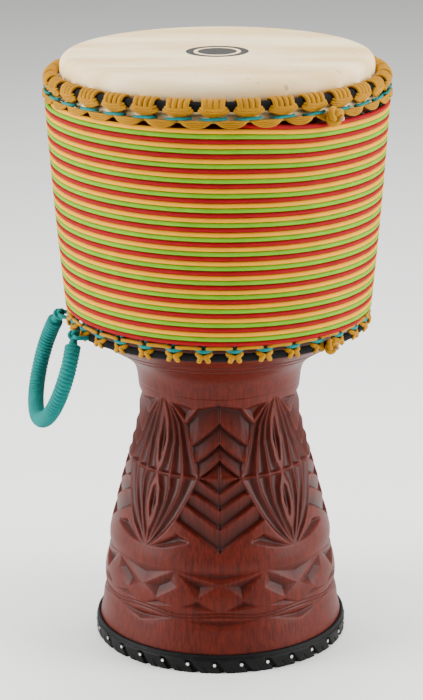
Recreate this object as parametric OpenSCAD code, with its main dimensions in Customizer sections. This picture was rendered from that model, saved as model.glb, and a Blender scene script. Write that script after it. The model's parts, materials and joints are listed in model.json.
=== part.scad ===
// Djembe: a carved goblet drum with a rope-tensioned skin, a wound cord jacket,
// a rope handle and a rubber foot.
// Origin at the centre of the foot on the floor, +Z up, the front at -Y, the handle at -X.

/* [Shell] */
// Height from the floor to the top of the skin
total_h = 610; // [600:1:620]
// Outer radius of the wood at the foot
foot_r = 126; // [124:1:128]
// Outer radius of the wood at the waist
waist_r = 82; // [80:0.5:84]
// Outer radius of the bowl at its lower shoulder
bowl_low_r = 145.5; // [145:0.1:146]
// Outer radius of the bowl at its upper shoulder
bowl_high_r = 161.6; // [161:0.1:162]
// Radius of the throat inside the waist
throat_r = 66; // [60:1:70]

/* [Head] */
// Thickness of the skin
skin_t = 1.8; // [1.4:0.1:1.8]
// Radius of the neck that the skin is drawn down over
neck_r = 154; // [153.5:0.1:154]
// Radius of the wire in the flesh ring
flesh_wire_r = 3; // [2.6:0.1:3]

/* [Rings] */
// Radius of the steel bar in the crown ring
crown_bar_r = 3.5; // [3:0.1:4]
// Radius of the crown ring over its cloth
crown_cloth_r = 5; // [4.6:0.1:5]
// Radius of the steel bar in the bottom ring
bottom_bar_r = 2.6; // [2:0.1:3]
// Radius of the bottom ring over its cloth
bottom_cloth_r = 4; // [3.6:0.1:4]
// Number of hitches on each ring
hitches = 32; // [32:32:32]

/* [Cords] */
// Radius of the tension rope
rope_r = 2.1; // [1.8:0.1:2.1]
// Radius of each winding cord
winding_r = 2.3; // [2:0.1:2.35]
// Distance from one winding cord to the next
winding_pitch = 4.79; // [4.75:0.01:4.8]
// Number of turns of all three winding cords together
winding_turns = 45; // [42:1:45]

/* [Handle] */
// Radius of the handle over its wrap
wrap_r = 8.25; // [7.5:0.25:8.5]
// Radius of the rope core
core_r = 4.5; // [4:0.1:5]
// Distance between the two legs at their knots
leg_gap = 80; // [78:1:84]
// Radius of the loop, to the middle of the rope
loop_r = 58; // [52:1:58]
// Lean of the hanging handle away from the drum
handle_lean = 18; // [14:1:20]

/* [Foot] */
// Height of the rubber strip
tread_h = 19; // [18:1:20]
// Thickness of the rubber strip
tread_t = 4.5; // [4:0.1:5]
// Number of nails and of tread blocks
nails = 30; // [24:2:36]

/* [Hidden] */
$fn = 64;

// Clearance between faces that touch
gap = 0.05;
// Thickness of the rubber under the wood
sole_t = 3;
// Height of the bowl's lower and upper shoulders
bowl_low_z = 352;
bowl_high_z = 560;
// Height at which the neck starts, and the highest point of the wood
neck_z = 574;
edge_z = total_h - skin_t - gap;
// Radius of the rounded bearing edge
edge_round = 9;

// Places of the rings: radius and height of the middle of each bar
flesh_at = [neck_r + skin_t + flesh_wire_r + 2 * gap, 575];
crown_at = [164.4, 587.2];
bottom_at = [148.6, 339];
// Radius of a hitch round its ring, over the cord
crown_hitch_r = 8.4;
bottom_hitch_r = 6.6;
// Place and radius of the half-moons under the crown hitches, and place of the lacing above them
crown_cradle_at = [170, 571.7];
crown_cradle_r = 3.6;
crown_lacing_at = [171, 577.5];
// Places of the bars just under the last winding and of the lacing below them, and the radius of both
bottom_bar_at = [153, 349.9];
bottom_lacing_at = [153, 346.4];
bottom_cord_r = rope_r - 0.2;
// Angle between hitches, and the angle that one hitch, cradle or lacing takes up on each ring
step = 360 / hitches;
crown_hitch_a = 9.2;
crown_cradle_a = 10.4;
crown_lacing_a = 5;
bottom_hitch_a = 6.4;
bottom_cradle_a = 5.6;
bottom_lacing_a = 4.4;
// Angle of the first crown hitch and of the first bottom hitch, from the front
crown_start = -1.3;
// Degrees by which the bottom hitches sit past the middle between two crown hitches
bottom_past = 1.4;
bottom_start = crown_start + step / 2 + bottom_past;

// Highest winding cord, and the middle radius of the cords at the lower and upper shoulders
winding_top = 565;
winding_low = [153, 354];
winding_high = [168.6, 554];
winding_bulge = 0.9;

// Pivot of the handle: distance from the drum's axis, height, and angle from the front
pivot_at = [157.5, 341];
handle_a = -76.2;
handle_knot_r = 7.2;
// Depth of the loop's middle below its knots
loop_drop = sqrt(loop_r * loop_r - leg_gap * leg_gap / 4);
// Distances along the rope from a knot's middle to the start of the core and of the wrap, clear of the eye
core_start = 8.2;
wrap_start = 12.4;
// Radius and half length of the rope eye that the handle's knots turn on
eye_r = 2.1;
eye_half = 14;

// Outside of the stem from the rubber up to the bowl's lower shoulder, as radius and height
stem_outside = [[foot_r, tread_h + 0.5], [123.6, 28], [122.3, 40], [119.7, 52], [120.4, 64], [119.3, 76],
    [116, 90], [115, 100], [114.8, 110], [112.8, 120], [107.7, 142], [103.3, 160], [95.2, 190],
    [87.4, 220], [83.5, 238], [waist_r, 256], [83.1, 274], [85.4, 288], [91, 298], [104, 309],
    [118.4, 318], [134.5, 330], [142, 343], [bowl_low_r, bowl_low_z]];
// Inside of the bowl and stem from the bearing edge down to the mouth
bore_inside = [[141, 592], [147, 556], [141, 450], [134, 372], [126, 346], [104, 322], [80, 302],
    [68, 284], [throat_r, 262], [68, 236], [78, 192], [93, 130], [102, 70], [107, 22], [108, sole_t]];

// Point at part t of the way from b to c on the smooth curve through a, b, c and d
function smooth_point(a, b, c, d, t) = 0.5 * (2 * b + (c - a) * t + (2 * a - 5 * b + 4 * c - d) * t * t
    + (3 * b - a - 3 * c + d) * t * t * t);

// Smooth line through the points of p, with n steps between each two
function smooth_line(p, n) = concat([for (i = [0 : len(p) - 2]) for (k = [0 : n - 1])
    smooth_point(p[max(i - 1, 0)], p[i], p[i + 1], p[min(i + 2, len(p) - 1)], k / n)], [p[len(p) - 1]]);

// Points of an arc round c, from angle a0 to a1
function arc(c, r, a0, a1, n) =
    [for (k = [0 : n]) let (a = a0 + (a1 - a0) * k / n) c + r * [cos(a), sin(a)]];

// Outer radius of the bowl between its shoulders at height z
function bowl_r(z) = bowl_low_r + (bowl_high_r - bowl_low_r) * (z - bowl_low_z) / (bowl_high_z - bowl_low_z);

// Middle radius of the winding cord at height z: a straight slope with a slight swell
function cord_r(z) = let (s = (z - winding_low[1]) / (winding_high[1] - winding_low[1]))
    winding_low[0] + (winding_high[0] - winding_low[0]) * s + winding_bulge * sin(180 * s);

// Turns what is drawn at the front (-Y) to angle a, positive to the right
module at_angle(a) {
    rotate([0, 0, a]) children();
}

// Part of a ring whose section is a circle of radius r at place p, or a tube when hole is above 0
module ring_part(p, r, middle, angle, hole = 0) {
    rotate([0, 0, middle - 90 - angle / 2])
        rotate_extrude(angle = angle, $fn = 96)
            translate(p)
                tube_section(r, hole);
}

module tube_section(r, hole) {
    difference() {
        circle(r = r, $fn = 32);
        if (hole > 0) circle(r = hole, $fn = 32);
    }
}

module full_ring(p, r, hole = 0) {
    rotate_extrude($fn = 96)
        translate(p)
            tube_section(r, hole);
}

// Carved from one log: a stem that flares to the foot, and a bowl with a rounded bearing edge
module shell() {
    color("#7a2e1c")
        rotate_extrude($fn = 96)
            polygon(concat(
                [[108, sole_t], [foot_r, sole_t]],
                smooth_line(stem_outside, 4),
                [[bowl_high_r, bowl_high_z], [bowl_high_r - 1.6, bowl_high_z + 5], [neck_r, neck_z - 4]],
                arc([neck_r - edge_round, edge_z - edge_round], edge_round, 0, 150, 10),
                smooth_line(bore_inside, 4)));
}

// The skin: flat on top, drawn down over the edge and folded round the flesh ring, where it is trimmed off
module drumhead() {
    color("#efe3c8") {
        rotate_extrude($fn = 96)
            polygon(concat(
                [[0, edge_z + gap], [0, total_h]],
                arc([neck_r - edge_round, edge_z - edge_round], edge_round + skin_t, 90, 0, 10),
                [[neck_r + skin_t, flesh_at[1]], [neck_r + gap, flesh_at[1]]],
                arc([neck_r - edge_round, edge_z - edge_round], edge_round + gap, 0, 90, 10)));
        full_ring(flesh_at, flesh_wire_r + skin_t, flesh_wire_r);
    }
}

// The wire ring that the edge of the skin is folded round
module flesh_ring() {
    color("#8c8c8c") full_ring(flesh_at, flesh_wire_r - gap);
}

// The steel ring that pulls the skin down
module crown_ring() {
    color("#8c8c8c") full_ring(crown_at, crown_bar_r);
}

// Black cloth wound round the crown ring
module crown_ring_cloth() {
    color("#161616") full_ring(crown_at, crown_cloth_r, crown_bar_r + gap);
}

// Yellow cord hitched round the crown ring
module crown_hitches() {
    color("#e0a01a")
        for (i = [0 : hitches - 1])
            ring_part(crown_at, crown_hitch_r, crown_start + i * step, crown_hitch_a, crown_cloth_r + gap);
}

// The hanging half-moon of the yellow cord between each two hitches
module crown_cradles() {
    color("#e0a01a")
        for (i = [0 : hitches - 1])
            ring_part(crown_cradle_at, crown_cradle_r, crown_start + (i + 0.5) * step, crown_cradle_a);
}

// The tension rope where it crosses in front of each crown hitch
module crown_lacing() {
    color("#1f9a93")
        for (i = [0 : hitches - 1])
            ring_part(crown_lacing_at, rope_r, crown_start + i * step, crown_lacing_a);
}

// The tension rope's runs, in a zig-zag between the rings, straight down the bowl under the windings
module tension_rope() {
    top_z = 564;
    low_z = 347;
    top_r = bowl_r(top_z) + rope_r + 0.3;
    low_r = bowl_r(low_z) + rope_r + 0.3;
    lean = crown_lacing_a / 2;
    color("#1f9a93")
        for (i = [0 : hitches - 1]) for (side = [-1, 1]) {
            a = crown_start + i * step + side * lean;
            b = crown_start + (i + side / 2) * step - side * lean * 0.4;
            rod([top_r * sin(a), -top_r * cos(a), top_z], [low_r * sin(b), -low_r * cos(b), low_z], rope_r);
        }
}

// A straight round bar from point p to point q
module rod(p, q, r) {
    d = q - p;
    translate(p)
        rotate([0, acos(d[2] / norm(d)), atan2(d[1], d[0])])
            cylinder(r = r, h = norm(d), $fn = 24);
}

// Every third turn of the winding, starting from turn first
module winding(first) {
    for (i = [first : 3 : winding_turns - 1]) {
        z = winding_top - i * winding_pitch;
        full_ring([cord_r(z), z], winding_r);
    }
}

// Three cords wound side by side over the tension rope
module winding_red() {
    color("#c8102e") winding(2);
}

module winding_amber() {
    color("#f5a51b") winding(0);
}

module winding_green() {
    color("#9ccb4e") winding(1);
}

// The steel ring under the bowl that the tension rope pulls against
module bottom_ring() {
    color("#8c8c8c") full_ring(bottom_at, bottom_bar_r);
}

// Black cloth wound round the bottom ring
module bottom_ring_cloth() {
    color("#161616") full_ring(bottom_at, bottom_cloth_r, bottom_bar_r + gap);
}

// Yellow cord hitched round the bottom ring
module bottom_hitches() {
    color("#e0a01a")
        for (i = [0 : hitches - 1])
            ring_part(bottom_at, bottom_hitch_r, bottom_start + i * step, bottom_hitch_a,
                bottom_cloth_r + gap);
}

// The short bar of yellow cord between each two bottom hitches
module bottom_cradles() {
    color("#e0a01a")
        for (i = [0 : hitches - 1])
            ring_part(bottom_bar_at, bottom_cord_r, bottom_start + (i + 0.5) * step, bottom_cradle_a);
}

// The tension rope where it passes under each bottom hitch
module bottom_lacing() {
    color("#1f9a93")
        for (i = [0 : hitches - 1])
            ring_part(bottom_lacing_at, bottom_cord_r, bottom_start + i * step, bottom_lacing_a);
}

// A round knot with a flat back, its back at radius r and height z, at angle a
module knot(a, r, z, knot_r, thick) {
    at_angle(a)
        translate([0, -r, z])
            rotate([90, 0, 0])
                rotate_extrude($fn = 48)
                    polygon(concat([[0, 0], [knot_r - thick / 3, 0]],
                        arc([knot_r - thick / 2, thick / 2], thick / 2, -50, 90, 8), [[0, thick]]));
}

// The knot that ties off the yellow cord at the crown
module crown_knot() {
    color("#e0a01a") knot(38.1, 173.8, 573, 10, 10);
}

// The melted tip of the cord, in the crown knot
module crown_knot_end() {
    color("#6b3a1a") knot(39.3, 183.9, 571.5, 3.5, 2.5);
}

// The knot that ties off the yellow cord at the bottom ring
module bottom_knot() {
    color("#e0a01a") knot(43.5, 155.3, 340, 7.6, 8);
}

// The melted tip of the cord, in the bottom knot
module bottom_knot_end() {
    color("#c8a060") knot(44.8, 163.4, 340, 3, 2.5);
}

// Puts the handle's own frame (X along the pivot, Z down the loop) at the pivot
module at_pivot(lean = 0) {
    at_angle(handle_a)
        translate([0, -pivot_at[0], pivot_at[1]])
            rotate([180 - lean, 0, 0])
                children();
}

// Rope eyes, tied to the bottom ring between its hitches, that the handle hangs on
module handle_anchors() {
    tied_r = bottom_at[0] + bottom_cloth_r - 1;
    color("#1f9a93")
        for (side = [-1, 1]) {
            at_pivot() translate([side * leg_gap / 2, 0, 0])
                rotate([0, 90, 0])
                    cylinder(r = eye_r, h = 2 * eye_half, center = true, $fn = 32);
            for (end = [-1, 1]) {
                across = side * leg_gap / 2 + end * (eye_half - eye_r);
                tail_l = pivot_at[0] - sqrt(tied_r * tied_r - across * across);
                at_pivot() translate([across, 0, 0])
                    rotate([90, 0, 0])
                        cylinder(r = eye_r, h = tail_l, $fn = 32);
            }
        }
}

// The loop in the handle's own frame: most of a ring, which stops a distance short of each knot's middle
module handle_loop(short, r, hole) {
    past = asin(loop_drop / loop_r) - short / loop_r * 180 / PI;
    translate([0, 0, loop_drop])
        rotate([90, past, 0])
            mirror([0, 0, 1])
                rotate_extrude(angle = 180 + 2 * past, $fn = 96)
                    translate([loop_r, 0])
                        tube_section(r, hole);
}

// The handle's rope core, in a loop from knot to knot
module handle_core() {
    color("#25a79b") at_pivot(handle_lean) handle_loop(core_start, core_r, 0);
}

// The cord wound tightly round the core
module handle_wrap() {
    color("#25a79b") at_pivot(handle_lean) handle_loop(wrap_start, wrap_r, core_r + gap);
}

// The knot at each end of the loop, which turns on its rope eye, with a short link down to the core
module handle_knots() {
    link_r = 2.5;
    link_l = core_start - 0.6;
    lean = asin(loop_drop / loop_r);
    color("#25a79b") at_pivot(handle_lean)
        for (side = [-1, 1]) translate([side * leg_gap / 2, 0, 0])
            difference() {
                union() {
                    rotate([90, 90, 0]) sphere(r = handle_knot_r, $fn = 32);
                    rotate([0, side * lean, 0]) cylinder(r = link_r, h = link_l, $fn = 32);
                }
                rotate([0, 90, 0]) cylinder(r = eye_r + 0.3, h = 4 * handle_knot_r, center = true, $fn = 32);
            }
}

// A strip of tyre tread, nailed round the foot and turned in under it
module foot_tread() {
    out_r = foot_r + tread_t;
    sole_inner_r = 106;
    groove = [3, 3, 14];
    groove_lean = 35;
    color("#141414")
        difference() {
            cylinder(r = out_r, h = tread_h, $fn = 96);
            translate([0, 0, sole_t]) cylinder(r = foot_r + gap, h = tread_h, $fn = 96);
            translate([0, 0, -1]) cylinder(r = sole_inner_r, h = tread_h, $fn = 96);
            for (i = [0 : nails - 1]) at_angle((i + 0.5) * 360 / nails)
                translate([0, -out_r, 4])
                    rotate([0, groove_lean, 0])
                        cube(groove, center = true);
        }
}

// Round-headed nails through the rubber into the wood
module foot_nails() {
    head_r = 1.6;
    shank_r = 0.9;
    shank_l = 12;
    first_a = -2.8;
    color("#b9a98a")
        for (i = [0 : nails - 1]) at_angle(i * 360 / nails + first_a)
            translate([0, -(foot_r + tread_t), 9.5])
                rotate([90, 0, 0]) {
                    cylinder(r = head_r, h = 1, $fn = 24);
                    translate([0, 0, -shank_l]) cylinder(r = shank_r, h = shank_l + 0.5, $fn = 16);
                }
}

shell();
drumhead();
flesh_ring();
crown_ring();
crown_ring_cloth();
crown_hitches();
crown_cradles();
crown_lacing();
tension_rope();
winding_red();
winding_amber();
winding_green();
bottom_ring();
bottom_ring_cloth();
bottom_hitches();
bottom_cradles();
bottom_lacing();
crown_knot();
crown_knot_end();
bottom_knot();
bottom_knot_end();
handle_anchors();
handle_core();
handle_wrap();
handle_knots();
foot_tread();
foot_nails();
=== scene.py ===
import json
import math

import bmesh
import bpy
import numpy as np
from mathutils import Matrix


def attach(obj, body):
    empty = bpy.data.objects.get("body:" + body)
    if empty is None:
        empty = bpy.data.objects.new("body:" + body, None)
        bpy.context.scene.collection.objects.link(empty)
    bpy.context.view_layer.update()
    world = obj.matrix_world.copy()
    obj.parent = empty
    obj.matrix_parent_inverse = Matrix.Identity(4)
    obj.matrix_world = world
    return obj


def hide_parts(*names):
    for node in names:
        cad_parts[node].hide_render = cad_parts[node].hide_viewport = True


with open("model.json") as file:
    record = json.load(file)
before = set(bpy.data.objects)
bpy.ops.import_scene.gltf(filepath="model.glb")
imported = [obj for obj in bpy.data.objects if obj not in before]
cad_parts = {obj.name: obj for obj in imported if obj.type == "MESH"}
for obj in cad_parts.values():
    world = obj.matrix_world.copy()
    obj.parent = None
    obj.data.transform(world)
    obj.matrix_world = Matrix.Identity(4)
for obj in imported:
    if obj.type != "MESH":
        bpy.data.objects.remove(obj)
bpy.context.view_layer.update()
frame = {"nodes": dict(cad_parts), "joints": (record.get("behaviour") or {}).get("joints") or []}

# ---- Camera -------------------------------------------------------------------------------------
# A portrait lens at the height of an adult's chest, two and a half metres from the drum's axis,
# tipped down so that the whole head shows.
lens_back, lens_height = 2.425, 1.0427
lens_tip, lens_roll = math.radians(73.01), -0.0058
camera = bpy.data.objects.new("camera", bpy.data.cameras.new("camera"))
bpy.context.collection.objects.link(camera)
camera.data.sensor_width = 36
camera.data.lens = 127.46
camera.data.shift_x = -0.0107
camera.matrix_world = (Matrix.Translation((0, -lens_back, lens_height))
                       @ Matrix.Rotation(lens_tip, 4, "X") @ Matrix.Rotation(lens_roll, 4, "Z"))
bpy.context.scene.camera = camera

# ---- Carrying handle ----------------------------------------------------------------------------
# A loop of rope, wrapped tightly from knot to knot with teal cord. Each end is knotted onto a rope
# eye that is tied to the bottom ring, so the loop hangs and swings on the two eyes.
MM = 0.001
swing = next(j for j in frame["joints"] if j["name"] == "handle_swing")
pivot = np.array(swing["pos_m"], float)
along_eyes = -np.array(swing["axis"], float)
outward = np.array([along_eyes[1], -along_eyes[0], 0.0])
handle_lean = math.radians(18)
hang = outward * math.sin(handle_lean) - np.array([0, 0, math.cos(handle_lean)])
knot_half_gap = 40 * MM
loop_radius = 58 * MM
loop_drop = math.sqrt(loop_radius ** 2 - knot_half_gap ** 2)
core_radius = 4.5 * MM
core_start = 8.2 * MM
wrap_start = 12.4 * MM
wrap_radius = 8.25 * MM
wrap_cord = 3.7 * MM
eye_radius = 2.1 * MM
eye_half = 14 * MM


def hex_colour(code):
    """An sRGB hex value as linear red, green, blue and alpha."""
    parts = np.array([int(code[k:k + 2], 16) for k in (1, 3, 5)]) / 255
    linear = np.where(parts <= 0.04045, parts / 12.92, ((parts + 0.055) / 1.055) ** 2.4)
    return (*linear.tolist(), 1.0)


def add_node(tree, kind, settings=None, inputs=None):
    """Adds one node: settings are its properties, inputs its values or the sockets that feed it."""
    node = tree.nodes.new(kind)
    for key, value in (settings or {}).items():
        setattr(node, key, value)
    for key, value in (inputs or {}).items():
        if isinstance(value, bpy.types.NodeSocket):
            tree.links.new(value, node.inputs[key])
        else:
            node.inputs[key].default_value = value
    return node


def new_material(name, constants):
    """A material with one Principled shader, its constant values set on the shader's own sockets."""
    made = bpy.data.materials.new(name)
    made.use_nodes = True
    shader = made.node_tree.nodes["Principled BSDF"]
    for key, value in constants.items():
        shader.inputs[key].default_value = value
    return made, made.node_tree, shader


def braided_cord(name, light, crease_shade, cord_radius, plaits=6):
    """Braided polyester cord: two sets of diagonal waves cross over the cord, as many round it as it
    has plaits, and their product is the height of the braid. The colour follows that height as
    painted shade in the crevices between plaits, lifted in places by a random tone of wear."""
    made, tree, shader = new_material(name, {"Roughness": 0.75, "Specular IOR Level": 0.15})
    uv = add_node(tree, "ShaderNodeUVMap", {"uv_map": "lay"})
    wave_scale = 2 * math.pi / 10 * plaits / (2 * math.pi * cord_radius)
    turned = add_node(tree, "ShaderNodeMapping", {}, {"Vector": uv.outputs[0], "Scale": (1, -1, 1)})
    left = add_node(tree, "ShaderNodeTexWave", {"bands_direction": "DIAGONAL"},
                    {"Vector": uv.outputs[0], "Scale": wave_scale})
    right = add_node(tree, "ShaderNodeTexWave", {"bands_direction": "DIAGONAL"},
                     {"Vector": turned.outputs[0], "Scale": wave_scale})
    braid = add_node(tree, "ShaderNodeMath", {"operation": "MULTIPLY"},
                     {0: left.outputs["Fac"], 1: right.outputs["Fac"]})
    place = add_node(tree, "ShaderNodeTexCoord")
    wear = add_node(tree, "ShaderNodeTexNoise", {}, {"Vector": place.outputs["Object"], "Scale": 55.0})
    tone = add_node(tree, "ShaderNodeMath", {"operation": "MULTIPLY_ADD", "use_clamp": True},
                    {0: wear.outputs["Fac"], 1: 0.5, 2: 0.18})
    # Painted shade: where the braid is low, between plaits, the colour goes to the darker colour; a random
    # wear tone lifts it in places
    braid_shade_and_wear = add_node(tree, "ShaderNodeMath", {"operation": "MAXIMUM"},
                     {0: braid.outputs[0], 1: tone.outputs[0]})
    colour = add_node(tree, "ShaderNodeMix", {"data_type": "RGBA"},
                      {"Factor": braid_shade_and_wear.outputs[0], 6: hex_colour(crease_shade), 7: hex_colour(light)})
    relief = add_node(tree, "ShaderNodeBump", {}, {"Height": braid.outputs[0], "Strength": 0.5,
                                                   "Distance": 0.0004})
    tree.links.new(colour.outputs[2], shader.inputs["Base Color"])
    tree.links.new(relief.outputs[0], shader.inputs["Normal"])
    return made


def surface(name, points, wrap_rows, material, body, stands_for=(), values=None):
    """A mesh from grids of points [grid, row, column, 3]. Columns always close on themselves, rows do
    if wrap_rows is true. Each face has a row and a column edge, the map "lay" holds the distance
    along the rows and round the columns, and points that coincide are merged, which closes poles."""
    grids, rows, columns, _ = points.shape
    row = np.arange(rows if wrap_rows else rows - 1)
    column = np.arange(columns)
    start = (np.arange(grids) * rows * columns)[:, None, None]
    here, after = row[None, :, None], ((row + 1) % rows)[None, :, None]
    side, beside = column[None, None, :], ((column + 1) % columns)[None, None, :]
    corners = [(here, side), (here, beside), (after, beside), (after, side)]
    faces = np.stack([start + r * columns + c for r, c in corners], -1).reshape(-1, 4)
    mesh = bpy.data.meshes.new(name)
    mesh.from_pydata(points.reshape(-1, 3), [], faces.tolist())
    middles = points.mean(2)
    nexts = np.roll(middles, -1, 1)
    lengths = np.linalg.norm(nexts - middles, axis=-1)
    along = np.concatenate([np.zeros((grids, 1)), np.cumsum(lengths, 1)], 1)
    girth = np.linalg.norm(np.roll(points, -1, 2) - points, axis=-1).sum(2).max()
    across = np.arange(columns + 1) / columns * girth
    row_ends, column_ends = row[None, :, None], column[None, None, :]
    grid = np.arange(grids)[:, None, None]
    lay = np.stack([np.stack(np.broadcast_arrays(along[grid, row_ends + i], across[column_ends + j]), -1)
                    for i, j in ((0, 0), (0, 1), (1, 1), (1, 0))], -2)
    mesh.uv_layers.new(name="lay").data.foreach_set("uv", lay.astype(np.float32).ravel())
    mesh.shade_smooth()
    if values is not None:
        mesh.attributes.new("cut_depth", "FLOAT", "POINT").data.foreach_set(
            "value", values.astype(np.float32).ravel())
    work = bmesh.new()
    work.from_mesh(mesh)
    bmesh.ops.remove_doubles(work, verts=work.verts, dist=1e-6)
    bmesh.ops.dissolve_degenerate(work, edges=work.edges, dist=1e-7)
    bmesh.ops.recalc_face_normals(work, faces=work.faces)
    work.to_mesh(mesh)
    work.free()
    piece = bpy.data.objects.new(name, mesh)
    bpy.context.collection.objects.link(piece)
    mesh.materials.append(material)
    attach(piece, body)
    if stands_for:
        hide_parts(*stands_for)
    return piece


def unit(vectors):
    """Each vector divided by its own length."""
    return vectors / np.maximum(np.linalg.norm(vectors, axis=-1, keepdims=True), 1e-12)


def rope(paths, wide, thick, facing, sides=10, closed=False):
    """Ropes along paths [rope, point, 3]: at each point, an oval of half width wide across the path and
    half thickness thick along facing, made square to the path. Open ends get a rounded end: a
    ring that steps out along the path and shrinks, and a point."""
    if closed:
        forward = unit(np.roll(paths, -1, 1) - np.roll(paths, 1, 1))
    else:
        forward = unit(np.gradient(paths, axis=1))
    facing = np.broadcast_to(facing, paths.shape)
    up = unit(facing - (facing * forward).sum(-1, keepdims=True) * forward)
    across = np.cross(forward, up)
    wide = np.broadcast_to(wide, paths.shape[:2])
    thick = np.broadcast_to(thick, paths.shape[:2])
    if not closed:
        steps = np.array([1.0, 0.72])
        sizes = np.array([0.0, 0.7])

        def with_ends(line, shrink=False):
            """The line's first and last values repeated for the point and ring, shrunk if asked."""
            head = np.repeat(line[:, :1], len(steps), 1)
            tail = np.repeat(line[:, -1:], len(steps), 1)
            if shrink:
                head = head * sizes[None]
                tail = tail * sizes[None, ::-1]
            return np.concatenate([head, line, tail], 1)

        reach = np.minimum(wide, thick)
        head = paths[:, :1] - forward[:, :1] * (reach[:, :1, None] * steps[None, :, None])
        tail = paths[:, -1:] + forward[:, -1:] * (reach[:, -1:, None] * steps[None, ::-1, None])
        paths = np.concatenate([head, paths, tail], 1)
        across, up = with_ends(across), with_ends(up)
        wide, thick = with_ends(wide, shrink=True), with_ends(thick, shrink=True)
    turn = np.arange(sides) / sides * 2 * math.pi
    return (paths[:, :, None] + across[:, :, None] * (wide[..., None] * np.cos(turn))[..., None]
            + up[:, :, None] * (thick[..., None] * np.sin(turn))[..., None])


def loop_line(short, count):
    """The middle of the loop: an arc of loop_radius about a centre below the pivot, from one knot to
    the other, stopping short of each by that length of arc."""
    end = math.pi - math.asin(knot_half_gap / loop_radius) - short / loop_radius
    turn = np.linspace(-end, end, count)[:, None]
    centre = pivot + hang * loop_drop
    return centre + loop_radius * (np.cos(turn) * hang + np.sin(turn) * along_eyes)


# Teal braided cord: a matt polyester with a soft sheen, its braid just visible
teal_cord = braided_cord("teal_braided_polyester", "#0F8A84", "#04403E", 2.1 * MM)
handle_wrap_cord = braided_cord("teal_handle_whipping", "#108A84", "#04403E", 2.3 * MM, 8)
loop_facing = np.cross(along_eyes, hang)
core_line = loop_line(core_start, 64)
core_points = rope(core_line[None], core_radius, core_radius, loop_facing, 12)
handle_core = surface("handle_core_rope", core_points, False, teal_cord, "handle",
                      ["handle_core"])

# The wrap is one cord wound round the core: the surface stands out by half a cord's round back, and
# the ridge moves on by one cord's width for each turn round the core.
wrap_rows, wrap_sides = 900, 28
wrap_line = loop_line(wrap_start, wrap_rows)
wrap_length = 2 * (math.pi - math.asin(knot_half_gap / loop_radius) - wrap_start / loop_radius) * loop_radius
distance = np.linspace(0, wrap_length, wrap_rows)[:, None]
around = (np.arange(wrap_sides) / wrap_sides)[None, :]
ridge = ((distance / wrap_cord - around) % 1) * 2 - 1
wave = 0.12 * np.sin(distance / (9.3 * MM)) + 0.1 * np.sin(distance / (4.1 * MM) + 1)
wrap_height = wrap_radius - wrap_cord / 2 * (1 - np.sqrt(np.maximum(1 - ridge ** 2, 0.02))) * (0.85 + wave)
wrap_points = rope(wrap_line[None], 1.0, 1.0, loop_facing, wrap_sides)[:, 2:-2] - wrap_line[None, :, None]
wrap_points = wrap_line[None, :, None] + wrap_points * wrap_height[None, :, :, None]
ends = [np.repeat(wrap_line[None, k:k + 1, None], wrap_sides, 2) for k in (0, wrap_rows - 1)]
wrap_points = np.concatenate([ends[0], wrap_points, ends[1]], 1)
handle_wrap = surface("handle_whipping", wrap_points, False, handle_wrap_cord, "handle",
                      ["handle_wrap"])


def trefoil(centre, face, upright, ring, tube_r, count=72):
    """The line of an overhand knot: three lobes, as a point that goes round a ring twice while it
    goes round the ring's own section three times."""
    turn = np.arange(count) / count * 2 * math.pi
    sideways = np.cross(upright, face)
    reach = ring + tube_r * np.cos(3 * turn)
    return (centre + sideways * (reach * np.cos(2 * turn))[:, None]
            + upright * (reach * np.sin(2 * turn))[:, None] + face * (tube_r * np.sin(3 * turn))[:, None])


knot_centres = [pivot + side * knot_half_gap * along_eyes for side in (-1, 1)]
knot_lines = np.stack([trefoil(centre, along_eyes, hang, 3.2 * MM, 1.5 * MM) for centre in knot_centres])
knot_facing = unit(knot_lines - np.stack(knot_centres)[:, None])
handle_knots = surface("handle_knot_cords", rope(knot_lines, 2.2 * MM, 2.0 * MM, knot_facing, 10, True), True,
                       teal_cord, "handle", ["handle_knots"])
neck_lines = np.stack([loop_line(0, 160)[2:7], loop_line(0, 160)[-3:-8:-1]])
handle_necks = surface("handle_knot_tails", rope(neck_lines, 3.4 * MM, 3.4 * MM, loop_facing), False,
                       teal_cord, "handle")

# Each eye comes out of the bottom ring's cloth, runs through its knot, and goes back in
bottom_ring_radius, bottom_ring_height = 148.6 * MM, 339 * MM
eye_turn = np.linspace(-1, 1, 33)
eye_bulge = (1 - np.abs(eye_turn) ** 6)[:, None]
eye_paths = []
for centre in knot_centres:
    across_eye = (eye_half - eye_radius) * np.sign(eye_turn) * np.abs(eye_turn) ** 0.5
    line = centre + along_eyes * across_eye[:, None]
    far = np.hypot(line[:, 0], line[:, 1])[:, None]
    inner = line * np.array([1, 1, 0]) / far * bottom_ring_radius + np.array([0, 0, bottom_ring_height])
    eye_paths.append(inner * (1 - eye_bulge) + line * eye_bulge)
eye_paths = np.stack(eye_paths)
surface("handle_rope_eyes", rope(eye_paths, eye_radius, eye_radius, [0, 0, 1.0]), False, teal_cord, "drum",
        ["handle_anchors"])

# ---- Shell --------------------------------------------------------------------------------------
# One hardwood log, turned and hollowed, then carved with gouges: fans of ribs and chevrons round the
# stem, a plain band, and chip-carved diamonds above the foot. Stained red-brown and lacquered satin.
stem_outside = [[126, 3], [126, 19.5], [123.6, 28], [122.3, 40], [119.7, 52], [120.4, 64], [119.3, 76],
                [116, 90], [115, 100], [114.8, 110], [112.8, 120], [107.7, 142], [103.3, 160], [95.2, 190],
                [87.4, 220], [83.5, 238], [82, 256], [83.1, 274], [85.4, 288], [91, 298], [104, 309],
                [118.4, 318], [134.5, 330], [142, 343], [145.5, 352], [161.6, 560], [160, 565], [154, 570]]
bore_inside = [[108, 3], [107, 22], [102, 70], [93, 130], [78, 192], [68, 236], [66, 262], [68, 284],
               [80, 302], [104, 322], [126, 346], [134, 372], [141, 450], [147, 556], [141, 592]]
equator = 195
quarter = 90


bowl_foot = 352


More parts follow.
